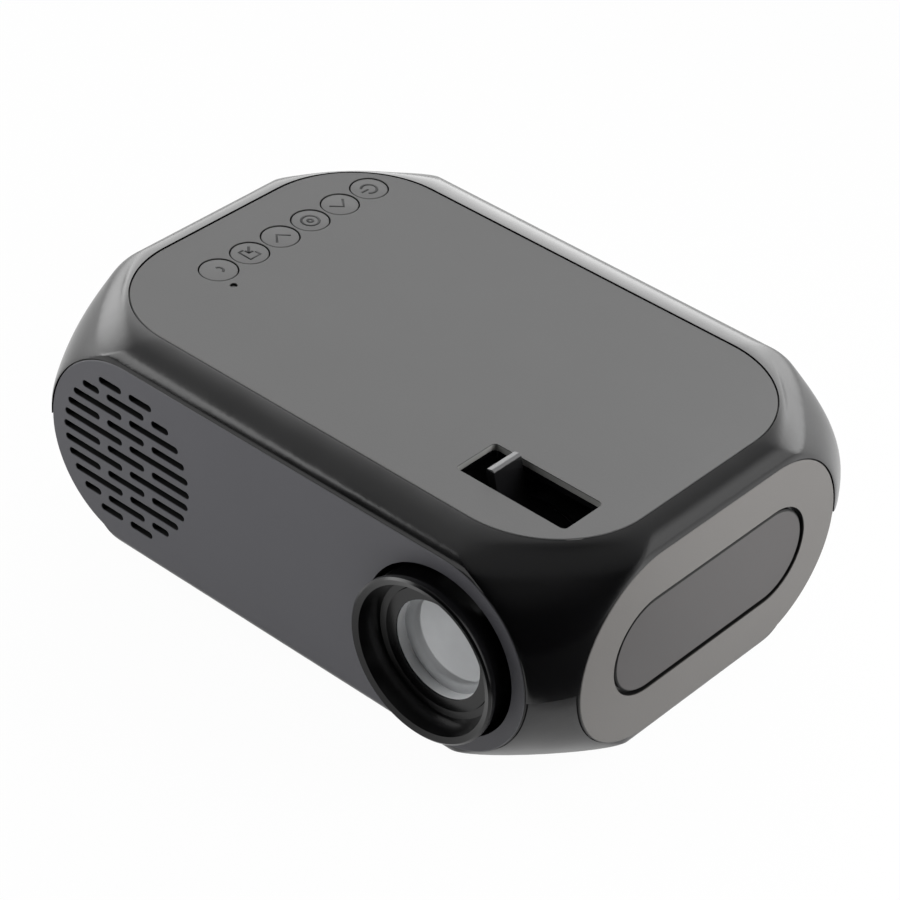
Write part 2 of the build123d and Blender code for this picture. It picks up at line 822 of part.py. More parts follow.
fan_clearance = 0.55
fan_size = 2 * (key_board_bottom - fan_clearance)
fan_depth = 10.0
fan_rim = 1.1  # the frame at its thinnest, beside the opening
fan_opening = fan_size / 2 - fan_rim
fan_hub = 8.0
fan_blades = 7
blade_gap = 0.6
fan_shaft_radius = 1.0
fan_shaft_end = 2.0  # from the sink's side of the frame
spider_thickness = 1.5
spider_arms = 3
spider_arm_width = 2.4
spider_arm_turn = 30
spider_overlap = 0.5
fan_hole_radius = 1.6
fan_hole_inset = 2.5
rotor_from_back = 2.2
rotor_from_sink = 0.8
blade_thickness = 0.9
blade_chord = 8.6
blade_twist = 50
hub_cap = 1.6
sink_base = 3.0
sink_depth = 22.0
fin_count = 10
fin_thickness = 1.2
led_board_thickness = 1.6
led_board_size = 30.0
emitter_radius = 6.0
emitter_height = 1.1

led_board_left = engine_left - led_board_thickness
sink_right = led_board_left
sink_left = sink_right - sink_depth
fan_right = sink_left
fan_left = fan_right - fan_depth


def heat_sink():
    """Extruded sink: a base plate and upright fins."""
    half = fan_size / 2
    body = block((sink_right - sink_base, sink_right), (fold_y - half, fold_y + half), (-half, half))
    pitch = (fan_size - fin_thickness) / (fin_count - 1)
    for index in range(fin_count):
        y = fold_y - half + index * pitch
        body += block((sink_left, sink_right), (y, y + fin_thickness), (-half, half))
    return body


def fan_frame():
    """Square frame with a spider that carries the shaft."""
    half = fan_size / 2
    centre = (fold_y, 0)
    body = block((fan_left, fan_right), (fold_y - half, fold_y + half), (-half, half))
    body -= disc(fan_opening, centre, (fan_left - 1, fan_right + 1))
    spider = disc(fan_hub, centre, (fan_left, fan_left + spider_thickness))
    for turn in range(spider_arms):
        arm = Pos(fan_left, fold_y, 0) * Rot(turn * 360 / spider_arms + spider_arm_turn, 0, 0) * Box(
            spider_thickness, spider_arm_width, fan_opening + spider_overlap, align=(Align.MIN, Align.CENTER, Align.MIN)
        )
        spider += arm
    shaft = disc(fan_shaft_radius, centre, (fan_left, fan_right - fan_shaft_end))
    corner = half - fan_hole_inset
    for y in (-corner, corner):
        for z in (-corner, corner):
            body -= disc(fan_hole_radius, (fold_y + y, z), (fan_left - 1, fan_right + 1))
    return body + spider + shaft


def fan_rotor():
    """Hub with seven pitched blades."""
    centre = (fold_y, 0)
    near = fan_left + rotor_from_back
    far = fan_right - rotor_from_sink
    body = disc(fan_hub, centre, (near, far))
    length = fan_opening - blade_gap
    for turn in range(fan_blades):
        blade = Box(blade_thickness, blade_chord, length, align=(Align.CENTER, Align.CENTER, Align.MIN))
        body += Pos((near + far) / 2, fold_y, 0) * Rot(turn * 360 / fan_blades, 0, 0) * Rot(0, 0, blade_twist) * blade
    sweep_limit = disc(length, centre, (near, far))
    return (body & sweep_limit) - disc(fan_shaft_radius + running_gap, centre, (near - 1, fan_right - hub_cap))


def led_board():
    half = led_board_size / 2
    return block((led_board_left, engine_left), (fold_y - half, fold_y + half), (-half, half))


def led_emitter():
    return disc(emitter_radius, (fold_y, 0), (engine_left, engine_left + emitter_height))


# ---- Light engine -----------------------------------------------------------------

rib = 0.9
rib_height = 2.0
rib_gap = 0.1
rib_sink = 0.2  # into the floor of the box
engine_end_gap = 1.4  # from the box to the wall of the right end
emitter_clearance = 1.5
port_margin = 2.0
light_port_radius = engine_half_height - port_margin
condenser_flange = 1.6
condenser_margin = 1.5
condenser_radius = engine_half_height - condenser_margin
condenser_bulge = 5.5
condenser_gap = 1.4  # from the lamp to the top of the bulge
condenser_left = engine_left + emitter_height + condenser_gap + condenser_bulge
mirror_near_end = lens_x - mirror_length / 2 * sqrt(0.5)
heat_glass_thickness = 1.1
lens_sheet_thickness = 1.6
display_thickness = 2.4
display_frame = 3.2
display_recess = 0.6
# Where each sheet stands, as a share of the way from the condenser to the mirror.
heat_glass_share = 0.177
collector_share = 0.300
display_share = 0.436
field_share = 0.600


def along_beam(share):
    """A station between the condenser and the near end of the mirror."""
    return condenser_left + (mirror_near_end - condenser_left) * share


heat_glass_left = along_beam(heat_glass_share)
collector_left = along_beam(collector_share)
display_left = along_beam(display_share)
field_left = along_beam(field_share)


def engine_outline(wall):
    """Plan of the light box: a tunnel along +X that ends at the 45 degree mirror."""
    back = lens_x + fold_y + (mirror_thickness + wall) * sqrt(2)
    low = fold_y - engine_half_width - wall
    high = fold_y + engine_half_width + wall
    left = engine_left + engine_wall - wall
    right = min(back - low, inner_end - engine_end_gap)
    points = [(left, low), (right, low)]
    if back - right > low + 0.01:
        points.append((right, back - right))
    points += [(back - high, high), (left, high)]
    return make_face(Polyline(*points, close=True))


def optical_box():
    """Open-topped tray with ribs that hold the lenses and the display panel."""
    height = 2 * engine_half_height
    outer = Pos(0, 0, engine_bottom) * extrude(engine_outline(engine_wall), height + engine_wall)
    inner = Pos(0, 0, -engine_half_height) * extrude(engine_outline(0), height + 1)
    body = outer - inner
    low = fold_y - engine_half_width
    high = fold_y + engine_half_width
    for left, thickness in optical_sheets():
        for edge in (left - rib_gap - rib, left + thickness + rib_gap):
            for y_span in ((low, low + rib_height), (high - rib_height, high)):
                body += block((edge, edge + rib), y_span, (-engine_half_height - rib_sink, engine_half_height))
    body -= disc(emitter_radius + emitter_clearance, (fold_y, 0), (engine_left - 1, engine_left + engine_wall + 1))
    body -= drum(light_port_radius, (lens_x, 0), (low - engine_wall - 1, low + 0.5))
    return body


def optical_sheets():
    """Left face and thickness of each sheet that stands in the ribs."""
    return [
        (condenser_left, condenser_flange),
        (heat_glass_left, heat_glass_thickness),
        (collector_left, lens_sheet_thickness),
        (display_left, display_thickness),
        (field_left, lens_sheet_thickness),
    ]


def sheet(left, thickness):
    """A flat sheet that stands across the tunnel on its floor."""
    half = engine_half_width - seat_gap
    return block(
        (left, left + thickness), (fold_y - half, fold_y + half), (-engine_half_height, engine_half_height - seat_gap)
    )


def optical_box_cover():
    span = (engine_half_height, engine_half_height + engine_wall)
    return Pos(0, 0, span[0]) * extrude(engine_outline(engine_wall), engine_wall)


def condenser_lens():
    flange = sheet(condenser_left, condenser_flange)
    arc = ThreePointArc(
        (0, -condenser_bulge), (condenser_radius * 0.5, -condenser_bulge * 0.78), (condenser_radius, 0)
    )
    profile = make_face([arc, Line((condenser_radius, 0), (0, 0)), Line((0, 0), (0, -condenser_bulge))])
    dome = revolve(profile, Axis.Y)
    return flange + Pos(condenser_left, fold_y, 0) * Rot(0, 0, -90) * dome


def display_panel():
    """Frame round the liquid-crystal window."""
    body = sheet(display_left, display_thickness)
    half_width = engine_half_width - display_frame
    recess = block(
        (display_left - 1, display_left + display_recess),
        (fold_y - half_width, fold_y + half_width),
        (-engine_half_height + display_frame, engine_half_height - display_frame),
    )
    return body - recess


def fold_mirror():
    """45 degree mirror against the slanted wall."""
    slab = Box(
        mirror_length,
        mirror_thickness,
        2 * engine_half_height - seat_gap,
        align=(Align.CENTER, Align.MIN, Align.CENTER),
    )
    return Pos(lens_x, fold_y, -seat_gap / 2) * Rot(0, 0, -45) * slab


# ---- Lens holder with its cam sleeve ---------------------------------------------------

holder_front = -17.5
holder_wall = 1.8
holder_flange = 1.6
holder_flange_half = 23.0
holder_flange_top = 17.4
cam_inner = 20.0
cam_outer = 21.8
cam_front = -33.0
cam_half_angle = 50.0
pin_radius = 1.2
pin_reach = 21.6
cam_clearance = 0.3
engine_front = fold_y - engine_half_width - engine_wall
ring_front = -ring_rear - ring_length
pin_y = (-ring_rear + ring_front) / 2
travel_per_degree = focus_lead / 360
holder_screw_places = [(-19.8, -12.5), (19.8, -12.5), (-19.8, 12.5), (19.8, 12.5)]


def cam_section(turn):
    """A radial rectangle across the cam slot, turned about the lens axis from straight down."""
    half = pin_radius + cam_clearance
    y = pin_y - turn * travel_per_degree
    inner = cam_inner - 1
    outer = cam_outer + 1
    corners = [(-inner, y - half), (-outer, y - half), (-outer, y + half), (-inner, y + half)]
    points = [Vector(radius * sin(radians(turn)), depth, radius * cos(radians(turn))) for radius, depth in corners]
    return Pos(lens_x, 0, 0) * make_face(Polyline(*points, close=True))


def cam_slot():
    """The slanted slot that turns the ring's swing into travel of the lens."""
    margin = 2.0
    first = -focus_back - margin
    last = focus_forward + margin
    steps = 4
    turns = [first + (last - first) * step / steps for step in range(steps + 1)]
    slot = loft([cam_section(turn) for turn in turns])
    for turn in (first, last):
        slot += cam_pin(turn, pin_radius + cam_clearance, cam_inner - 1, cam_outer + 1)
    return slot


def cam_pin(turn, radius, inner, outer):
    """A radial pin that points down when turn is 0."""
    pin = Pos(0, pin_y - turn * travel_per_degree, -outer) * Cylinder(
        radius, outer - inner, align=(Align.CENTER, Align.CENTER, Align.MIN)
    )
    return Pos(lens_x, 0, 0) * Rot(0, turn, 0) * pin


def lens_holder():
    """Flange on the light box, a guide bore for the barrel and the cam sleeve under the ring."""
    bore = guide_radius + running_gap
    flange = block(
        (lens_x - holder_flange_half, lens_x + holder_flange_half),
        (engine_front - holder_flange, engine_front),
        (-cam_outer, holder_flange_top),
    )
    tube = drum(bore + holder_wall, (lens_x, 0), (holder_front, engine_front))
    sleeve = drum(cam_outer, (lens_x, 0), (cam_front, engine_front - holder_flange + 0.2))
    sleeve -= drum(cam_inner, (lens_x, 0), (cam_front - 1, 0))
    reach = 2 * cam_outer
    spread = reach * tan(radians(cam_half_angle))
    wedge_plane = Plane(origin=(lens_x, cam_front - 1, 0), x_dir=(1, 0, 0), z_dir=(0, 1, 0))
    wedge_face = wedge_plane * make_face(Polyline((0, 0), (spread, reach), (-spread, reach), close=True))
    sleeve = sleeve & extrude(wedge_face, 40)
    body = flange + tube + sleeve
    body -= drum(bore, (lens_x, 0), (cam_front - 1, engine_front + 1))
    body -= cam_slot()
    for x, z in holder_screw_places:
        body -= drum(board_screw_radius + seat_gap, (lens_x + x, z), (engine_front - 3, engine_front + 1))
    return body


def holder_screws():
    screws = []
    for x, z in holder_screw_places:
        centre = (lens_x + x, z)
        seat = engine_front - holder_flange
        head = drum(board_screw_head_radius, centre, (seat - board_screw_head_height, seat))
        shank = drum(board_screw_radius, centre, (seat, engine_front))
        screws.append(head + shank)
    return Compound(screws)


# ---- Lens barrel: depth is measured inwards from the front panel ------------------------

barrel_rear = 40.6
sleeve_front = 0.4
sleeve_length = 2.5
front_glass_edge = 3.0
sleeve_wall = 1.1
spacer_radius = 10.8
spacer_wall = 0.9
middle_seat = 24.0
middle_edge = 3.2
rear_bore = 13.0
rear_seat = 31.0
rear_edge = 3.6
rear_bulge = 2.4
retainer_width = 1.4
clip_width = 0.8
clip_height = 1.9
clip_gap = 0.05
lip_round = 0.5
rim_ease = 0.4
rim_edge = 1.4
rim_neck = 2.6
flare_step = 1.6
flare_groove = 0.3
flare_taper = 0.5
flare_depth = 2.2
dome_rise = 2.2
dome_root = 0.5
middle_hollow = 0.9


def at_depth(depth):
    return -half_y + depth


def lens_barrel():
    """Flared rim, stepped bore for three lenses, seats for the focus ring and the guide bore."""
    lens_pocket = eye_radius + sleeve_wall
    pocket_end = sleeve_front + sleeve_length + front_glass_edge
    ring_stop = ring_front + half_y - loose_gap
    ring_end = half_y - ring_rear + loose_gap
    outline = [
        (rim_lip_radius, -rim_proud + lip_round),
        (rim_radius - lip_round, -rim_proud),
        (rim_radius, -rim_proud + rim_ease),
        (rim_radius, -rim_proud + rim_edge),
        (barrel_radius, -rim_proud + rim_neck),
        (barrel_radius, ring_stop),
        (ring_seat_radius, ring_stop),
        (ring_seat_radius, ring_end),
        (guide_radius, ring_end),
        (guide_radius, barrel_rear),
        (rear_bore, barrel_rear),
        (rear_bore, rear_seat),
        (spacer_radius - spacer_wall, rear_seat),
        (spacer_radius - spacer_wall, middle_seat),
        (spacer_radius, middle_seat),
        (spacer_radius, pocket_end),
        (lens_pocket, pocket_end),
        (lens_pocket, sleeve_front),
        (eye_radius, sleeve_front),
        (eye_radius, 0),
        (flare_radius - flare_step, 0),
        (flare_radius - flare_step, flare_groove),
        (flare_radius, 0),
        (flare_radius + flare_taper, -flare_depth),
    ]
    return turned([(radius, at_depth(depth)) for radius, depth in outline])


def lens_sleeve():
    """Pale ring that clamps the front glass."""
    radius = eye_radius + sleeve_wall - seat_gap
    span = (at_depth(sleeve_front), at_depth(sleeve_front + sleeve_length))
    return drum(radius, (lens_x, 0), span) - drum(eye_radius + seat_gap, (lens_x, 0), (span[0] - 1, span[1] + 1))


def front_lens():
    start = sleeve_front + sleeve_length
    radius = eye_radius + sleeve_wall - seat_gap
    return lens_solid(radius, at_depth(start), at_depth(start + front_glass_edge), 0.0, 0.0) + front_dome(start)


def front_dome(start):
    """The part of the front glass that bulges through the sleeve."""
    return lens_solid(eye_radius, at_depth(start), at_depth(start + dome_root), dome_rise, 0.0)


def lens_spacer():
    start = sleeve_front + sleeve_length + front_glass_edge
    span = (at_depth(start), at_depth(middle_seat - middle_edge))
    tube = drum(spacer_radius - seat_gap, (lens_x, 0), span)
    return tube - drum(spacer_radius - spacer_wall, (lens_x, 0), (span[0] - 1, span[1] + 1))


def middle_lens():
    edge_front = at_depth(middle_seat - middle_edge)
    return lens_solid(spacer_radius - seat_gap, edge_front, at_depth(middle_seat), -middle_hollow, -middle_hollow)


def rear_lens():
    return lens_solid(rear_bore - seat_gap, at_depth(rear_seat), at_depth(rear_seat + rear_edge), 0, rear_bulge)


def rear_retainer():
    hole = rear_bore - retainer_width
    sag = rear_bulge * (1 - (hole / (rear_bore - seat_gap)) ** 2)
    span = (at_depth(rear_seat + rear_edge) + sag + seat_gap, at_depth(barrel_rear - 0.5))
    ring = drum(rear_bore - seat_gap, (lens_x, 0), span)
    return ring - drum(hole, (lens_x, 0), (span[0] - 1, span[1] + 1))


def ring_clip():
    """Snap ring behind the focus ring."""
    start = -ring_rear + loose_gap
    ring = drum(guide_radius + clip_height, (lens_x, 0), (start, start + clip_width))
    return ring - drum(guide_radius + clip_gap, (lens_x, 0), (start - 1, start + 2))


# ---- Focus ring and lever --------------------------------------------------------------

gusset_foot = 6.8
gusset_tip = 2.2
gusset_height = 2.6
gusset_root = 1.6
gusset_share = 0.8  # of the lever's width
lever_root = 1.2
lever_round = 0.3  # of the lever's thickness
pin_root = 0.6


def focus_ring():
    """Ring on the barrel with the thumb lever up through the slot and the cam pin below."""
    span = (ring_front, -ring_rear)
    body = drum(ring_radius, (lens_x, 0), span)
    lever_top = (top_face + lever_proud) / cos(radians(lever_angle))
    half = lever_width / 2
    lever_start = ring_radius - lever_root
    lever = Pos(0, lever_y, lever_start) * Box(
        lever_thickness, lever_width, lever_top - lever_start, align=(Align.CENTER, Align.CENTER, Align.MIN)
    )
    lever = fillet(lever.edges().filter_by(Axis.Y).sort_by(Axis.Z)[-2:], lever_thickness * lever_round)
    foot = (gusset_foot / 2, ring_radius - gusset_root)
    tip = (gusset_tip / 2, ring_radius + gusset_height)
    gusset_face = make_face(Polyline((-foot[0], foot[1]), foot, tip, (-tip[0], tip[1]), close=True))
    gusset_plane = Plane(origin=(0, lever_y + half * gusset_share, 0), x_dir=(1, 0, 0), z_dir=(0, -1, 0))
    gusset = extrude(gusset_plane * gusset_face, half * 2 * gusset_share)
    body += Pos(lens_x, 0, 0) * Rot(0, lever_angle, 0) * (lever + gusset)
    body += cam_pin(0, pin_radius, ring_seat_radius + pin_root, pin_reach)
    return body - drum(ring_seat_radius + running_gap, (lens_x, 0), (span[0] - 1, span[1] + 1))


# ---- Write every piece --------------------------------------------------------------

save(upper_shell(), "upper_shell")
save(lower_shell(), "lower_shell")
save(top_panel(), "top_panel")
save(front_panel(), "front_panel")
save(rear_panel(), "rear_panel")
save(end_panel(1), "right_end_panel")
save(end_panel(-1), "left_end_panel")
save(end_inlay(), "right_end_inlay")
save(end_louvre(), "fan_outlet_grille")
save(rubber_feet(), "rubber_feet")
save(case_screws(), "case_screws")
save(board_screws(), "board_screws")
save(tripod_insert(), "tripod_insert")
save(key_board(), "key_board")
save(tact_switches(), "tact_switches")
save(status_light_pipe(), "status_light_pipe")
for index, name in enumerate(button_names):
    save(button(index), name)
save(main_board(), "main_board")
save(dc_socket(), "dc_socket")
save(av_socket(), "av_socket")
save(usb_socket(), "usb_socket")
save(hdmi_socket(), "hdmi_socket")
save(card_socket(), "card_socket")
save(speaker_basket(), "speaker_basket")
save(speaker_cone(), "speaker_cone")
save(speaker_magnet(), "speaker_magnet")
save(heat_sink(), "heat_sink")
save(fan_frame(), "fan_frame")
save(fan_rotor(), "fan_rotor")
save(led_board(), "led_board")
save(led_emitter(), "led_emitter")
save(optical_box(), "optical_box")
save(optical_box_cover(), "optical_box_cover")
save(condenser_lens(), "condenser_lens")
save(sheet(heat_glass_left, heat_glass_thickness), "heat_glass")
save(sheet(collector_left, lens_sheet_thickness), "collector_fresnel")
save(display_panel(), "display_panel")
save(sheet(field_left, lens_sheet_thickness), "field_fresnel")
save(fold_mirror(), "fold_mirror")
save(lens_holder(), "lens_holder")
save(holder_screws(), "holder_screws")
save(lens_barrel(), "lens_barrel")
save(lens_sleeve(), "lens_sleeve")
save(front_lens(), "front_lens")
save(lens_spacer(), "lens_spacer")
save(middle_lens(), "middle_lens")
save(rear_lens(), "rear_lens")
save(rear_retainer(), "rear_retainer")
save(ring_clip(), "ring_clip")
save(focus_ring(), "focus_ring")
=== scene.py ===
import bpy
import json
from math import cos, pi, radians, sin
from mathutils import Matrix, Vector


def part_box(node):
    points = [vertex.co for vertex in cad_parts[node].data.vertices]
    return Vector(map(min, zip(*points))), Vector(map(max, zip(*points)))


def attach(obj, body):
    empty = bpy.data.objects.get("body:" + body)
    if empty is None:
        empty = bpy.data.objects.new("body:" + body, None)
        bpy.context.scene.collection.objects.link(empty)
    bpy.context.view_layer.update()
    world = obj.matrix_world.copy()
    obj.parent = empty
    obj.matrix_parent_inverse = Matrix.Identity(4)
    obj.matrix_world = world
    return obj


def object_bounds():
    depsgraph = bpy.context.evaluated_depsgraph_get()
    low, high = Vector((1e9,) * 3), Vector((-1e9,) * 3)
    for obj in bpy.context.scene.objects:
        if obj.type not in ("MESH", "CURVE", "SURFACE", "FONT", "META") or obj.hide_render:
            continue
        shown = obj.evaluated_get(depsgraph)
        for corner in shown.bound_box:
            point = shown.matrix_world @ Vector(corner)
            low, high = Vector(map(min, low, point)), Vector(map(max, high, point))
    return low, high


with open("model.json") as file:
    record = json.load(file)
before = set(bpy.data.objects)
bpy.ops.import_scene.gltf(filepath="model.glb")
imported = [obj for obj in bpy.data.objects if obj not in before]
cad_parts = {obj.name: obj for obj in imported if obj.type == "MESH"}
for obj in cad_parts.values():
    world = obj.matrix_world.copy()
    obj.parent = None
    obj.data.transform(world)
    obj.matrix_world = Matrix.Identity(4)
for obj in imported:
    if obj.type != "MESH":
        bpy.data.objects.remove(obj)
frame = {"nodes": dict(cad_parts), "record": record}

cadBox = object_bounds()
mm = 0.001
print("frame loaded")


def linearColour(hexText):
    # sRGB hex to linear rgba
    shades = [int(hexText[i:i + 2], 16) / 255 for i in (1, 3, 5)]
    return tuple(s / 12.92 if s <= 0.04045 else ((s + 0.055) / 1.055) ** 2.4
                 for s in shades) + (1.0,)


def addNode(tree, kind, settings=None, links=None):
    node = tree.nodes.new(kind)
    for key, value in (settings or {}).items():
        if isinstance(key, int) or key in node.inputs:
            node.inputs[key].default_value = value
        else:
            setattr(node, key, value)
    for key, source in (links or {}).items():
        output = source if isinstance(source, bpy.types.NodeSocket) else source.outputs[0]
        tree.links.new(output, node.inputs[key])
    return node


def maths(tree, operation, first, second=0.0):
    # each term is a socket or a number
    terms = dict(enumerate((first, second)))
    numbers = {i: term for i, term in terms.items() if isinstance(term, (int, float))}
    links = {i: term for i, term in terms.items() if i not in numbers}
    return addNode(tree, "ShaderNodeMath", {"operation": operation} | numbers, links).outputs[0]


def remap(tree, value, settings):
    return addNode(tree, "ShaderNodeMapRange", settings, {"Value": value}).outputs[0]


def newMaterial(name, shader):
    material = bpy.data.materials.new(name)
    material.use_nodes = True
    tree = material.node_tree
    tree.nodes.clear()
    surface = addNode(tree, "ShaderNodeBsdfPrincipled", shader)
    addNode(tree, "ShaderNodeOutputMaterial", {}, {"Surface": surface})
    return material, tree, surface


def grain(tree, spacing, detail=2.0, stretch=(1, 1, 1)):
    # noise whose features are about spacing millimetres apart
    place = addNode(tree, "ShaderNodeTexCoord")
    turned = addNode(tree, "ShaderNodeMapping", {"Scale": stretch},
                     {"Vector": place.outputs["Object"]})
    noise = addNode(tree, "ShaderNodeTexNoise", {"Scale": 1 / (spacing * mm), "Detail": detail},
                    {"Vector": turned})
    return noise.outputs["Fac"]


def objectPlace(tree):
    coordinates = addNode(tree, "ShaderNodeTexCoord")
    return addNode(tree, "ShaderNodeSeparateXYZ", {}, {0: coordinates.outputs["Object"]})


def bumpFrom(tree, surface, height, depth):
    bump = addNode(tree, "ShaderNodeBump", {"Strength": 1.0, "Distance": depth * mm},
                   {"Height": height})
    tree.links.new(bump.outputs[0], surface.inputs["Normal"])


def roughnessFrom(tree, surface, value, low, high):
    spread = remap(tree, value, {"To Min": low, "To Max": high})
    tree.links.new(spread, surface.inputs["Roughness"])


def mixColours(tree, share, first, second):
    # each colour is a socket or a linear rgba
    terms = {6: first, 7: second}
    links = {i: term for i, term in terms.items() if isinstance(term, bpy.types.NodeSocket)}
    plain = {i: term for i, term in terms.items() if i not in links}
    mix = addNode(tree, "ShaderNodeMix", {"data_type": "RGBA"} | plain, {0: share} | links)
    return mix.outputs[2]


def clouded(tree, hexText, spacing, darker, lighter):
    # one colour, a little darker and a little lighter in slow clouds
    base = linearColour(hexText)
    low, high = (tuple(min(c * share, 1) for c in base[:3]) + (1,) for share in (darker, lighter))
    return mixColours(tree, grain(tree, spacing), low, high)


plasticIor = 1.53
polish = {
    "wave": 4.0,  # mm from one swell of the orange peel to the next
    "wave detail": 1.0,
    "smear": 14.0,  # mm
    "smear detail": 3.0,
    "cleanest": 0.75,  # share of the roughness
    "dullest": 1.3,
}


def polishedAbs(name, hexText, roughness, peel, ior=plasticIor):
    # ABS from a polished tool: deep black, sharp reflections, a slight orange peel
    material, tree, surface = newMaterial(name, {"Base Color": linearColour(hexText), "IOR": ior})
    bumpFrom(tree, surface, grain(tree, polish["wave"], polish["wave detail"]), peel)
    smears = grain(tree, polish["smear"], polish["smear detail"])
    roughnessFrom(tree, surface, smears,
                  roughness * polish["cleanest"], roughness * polish["dullest"])
    return material


spark = {
    "pebble": 0.45,  # mm, drawn coarser than the real 0.1 mm, so that it shows
    "detail": 3.0,
    "depth": 0.014,  # mm
    "cloud": 18.0,  # mm
    "darker": 0.96,
    "lighter": 1.04,
}


def sparkErodedAbs(name, hexText, roughness, pebble=spark["pebble"], depth=spark["depth"]):
    # ABS from a spark-eroded tool: a fine even pebble that spreads highlights
    material, tree, surface = newMaterial(name, {"Roughness": roughness, "IOR": plasticIor})
    bumpFrom(tree, surface, grain(tree, pebble, spark["detail"]), depth)
    tint = clouded(tree, hexText, spark["cloud"], spark["darker"], spark["lighter"])
    tree.links.new(tint, surface.inputs["Base Color"])
    return material


# Painted shade: the seam shade is painted on the walls below each panel's face and on a thin rim of
# the face along its outline, for the shade in the gaps and grooves round the panels and the end
# inlay.
panelParts = {
    "seam shade": "#070707",
    "slot walls painted light": "#8f8f8d",
    "wall starts": 0.12 * mm,  # below the face
    "wall is full": 0.3 * mm,
    "seam blur": 0.2,  # share of the rim
    "rim": 0.16,  # mm of the panel's edge painted with the seam shade
    "inlay rim": 0.42,
    "top corner": 24.45,  # mm
    "slot window": ((46 * mm, 17.5 * mm), (-23.35 * mm, 8 * mm)),  # middle, half size; x, then y
}


def panelLook(panel, axis, sign, edge, rim, corner=None):
    # where the panel's face is, along which axis, and the corner radius of its outline
    low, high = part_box(panel)
    i = "XYZ".index(axis)
    j = "XYZ".index(edge[1])
    return {"axis": axis, "sign": sign, "edge": edge, "rim": rim * mm,
            "face": (high if sign > 0 else low)[i],
            "corner": corner * mm if corner else (high[j] - low[j]) / 2}


def beyondEdge(tree, place, panel, look):
    # 1 within the rim of the panel's outline, a rounded rectangle, and 0 inside it
    low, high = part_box(panel)
    reach = []
    for axis in look["edge"]:
        i = "XYZ".index(axis)
        offset = maths(tree, "SUBTRACT", place.outputs[axis], (low[i] + high[i]) / 2)
        straight = (high[i] - low[i]) / 2 - look["corner"]
        past = maths(tree, "SUBTRACT", maths(tree, "ABSOLUTE", offset), straight)
        over = maths(tree, "MAXIMUM", past, 0.0)
        reach.append(maths(tree, "MULTIPLY", over, over))
    distance = maths(tree, "SQRT", maths(tree, "ADD", *reach))
    blur = panelParts["seam blur"]
    return remap(tree, distance, {"From Min": look["corner"] - look["rim"] * (1 + blur),
                                  "From Max": look["corner"] - look["rim"] * (1 - blur)})


def insideWindow(tree, place, window):
    near = []
    for axis, (middle, half) in zip("XY", window):
        offset = maths(tree, "ABSOLUTE", maths(tree, "SUBTRACT", place.outputs[axis], middle))
        near.append(maths(tree, "LESS_THAN", offset, half))
    return maths(tree, "MULTIPLY", *near)


def panelAbs(name, hexText, roughness, panel, look, window=None):
    # spark-eroded ABS; painted shade: the walls below the face and a thin rim along its outline
    # take the near-black seam shade instead of the clouded colour
    material, tree, surface = newMaterial(name, {"Roughness": roughness, "IOR": plasticIor})
    bumpFrom(tree, surface, grain(tree, spark["pebble"], spark["detail"]), spark["depth"])
    place = objectPlace(tree)
    starts, full = (look["face"] - look["sign"] * panelParts[key]
                    for key in ("wall starts", "wall is full"))
    walls = remap(tree, place.outputs[look["axis"]], {"From Min": starts, "From Max": full})
    dark = maths(tree, "MAXIMUM", walls, beyondEdge(tree, place, panel, look))
    tint = clouded(tree, hexText, spark["cloud"], spark["darker"], spark["lighter"])
    shade = mixColours(tree, dark, tint, linearColour(panelParts["seam shade"]))
    # Painted light: inside the slot window the walls below the face are painted pale grey, for the
    # light that reaches the slot walls.
    if window:
        litSlotWalls = maths(tree, "MULTIPLY", insideWindow(tree, place, window), walls)
        shade = mixColours(tree, litSlotWalls, shade, linearColour(panelParts["slot walls painted light"]))
    tree.links.new(shade, surface.inputs["Base Color"])
    return material


metal = {"line": 0.6, "depth": 0.01, "finest": 0.8, "coarsest": 1.25}  # mm, mm, shares


def drawnMetal(name, hexText, roughness, stretch=(1, 1, 30)):
    # plated or drawn metal: fine lines along the way it was worked
    material, tree, surface = newMaterial(name, {"Base Color": linearColour(hexText),
                                                 "Metallic": 1.0})
    lines = grain(tree, metal["line"], stretch=stretch)
    bumpFrom(tree, surface, lines, metal["depth"])
    roughnessFrom(tree, surface, lines,
                  roughness * metal["finest"], roughness * metal["coarsest"])
    return material


glass = {"haze": 6.0, "clearest": 0.5, "haziest": 1.5,  # mm, shares
         "pale clouds": 5.0, "darker": 0.9, "lighter": 1.1, "coated ior": 1.6}


def clearMoulding(name, hexText, roughness, ior):
    # clear polished glass or acrylic: almost no colour of its own
    material, tree, surface = newMaterial(name, {"Base Color": linearColour(hexText),
                                                 "IOR": ior, "Transmission Weight": 1.0})
    roughnessFrom(tree, surface, grain(tree, glass["haze"]),
                  roughness * glass["clearest"], roughness * glass["haziest"])
    return material


def coatedGlass(name, hexText, clearness, roughness, mirror):
    # coated lens glass with a mirror-like skin; painted light: it is given a pale grey colour of
    # its own, which stands in for the lit pale fittings and the light seen in the real glass
    material, tree, surface = newMaterial(
        name, {"IOR": glass["coated ior"], "Transmission Weight": clearness,
               "Roughness": roughness, "Metallic": mirror})
    tint = clouded(tree, hexText, glass["pale clouds"], glass["darker"], glass["lighter"])
    tree.links.new(tint, surface.inputs["Base Color"])
    return material


lever = {
    "proud": 1.45 * mm,  # above the top panel
    "sheen from": 0.9 * mm,  # above the top panel
    "sheen to": 1.3 * mm,
    "wobble": 1.2,  # mm
    "wobble detail": 3.0,
    "wobble height": 0.3 * mm,
    "moulded": 0.18,  # roughness
    "rubbed": 0.4,
}
topFace = cadBox[1][2] - lever["proud"]


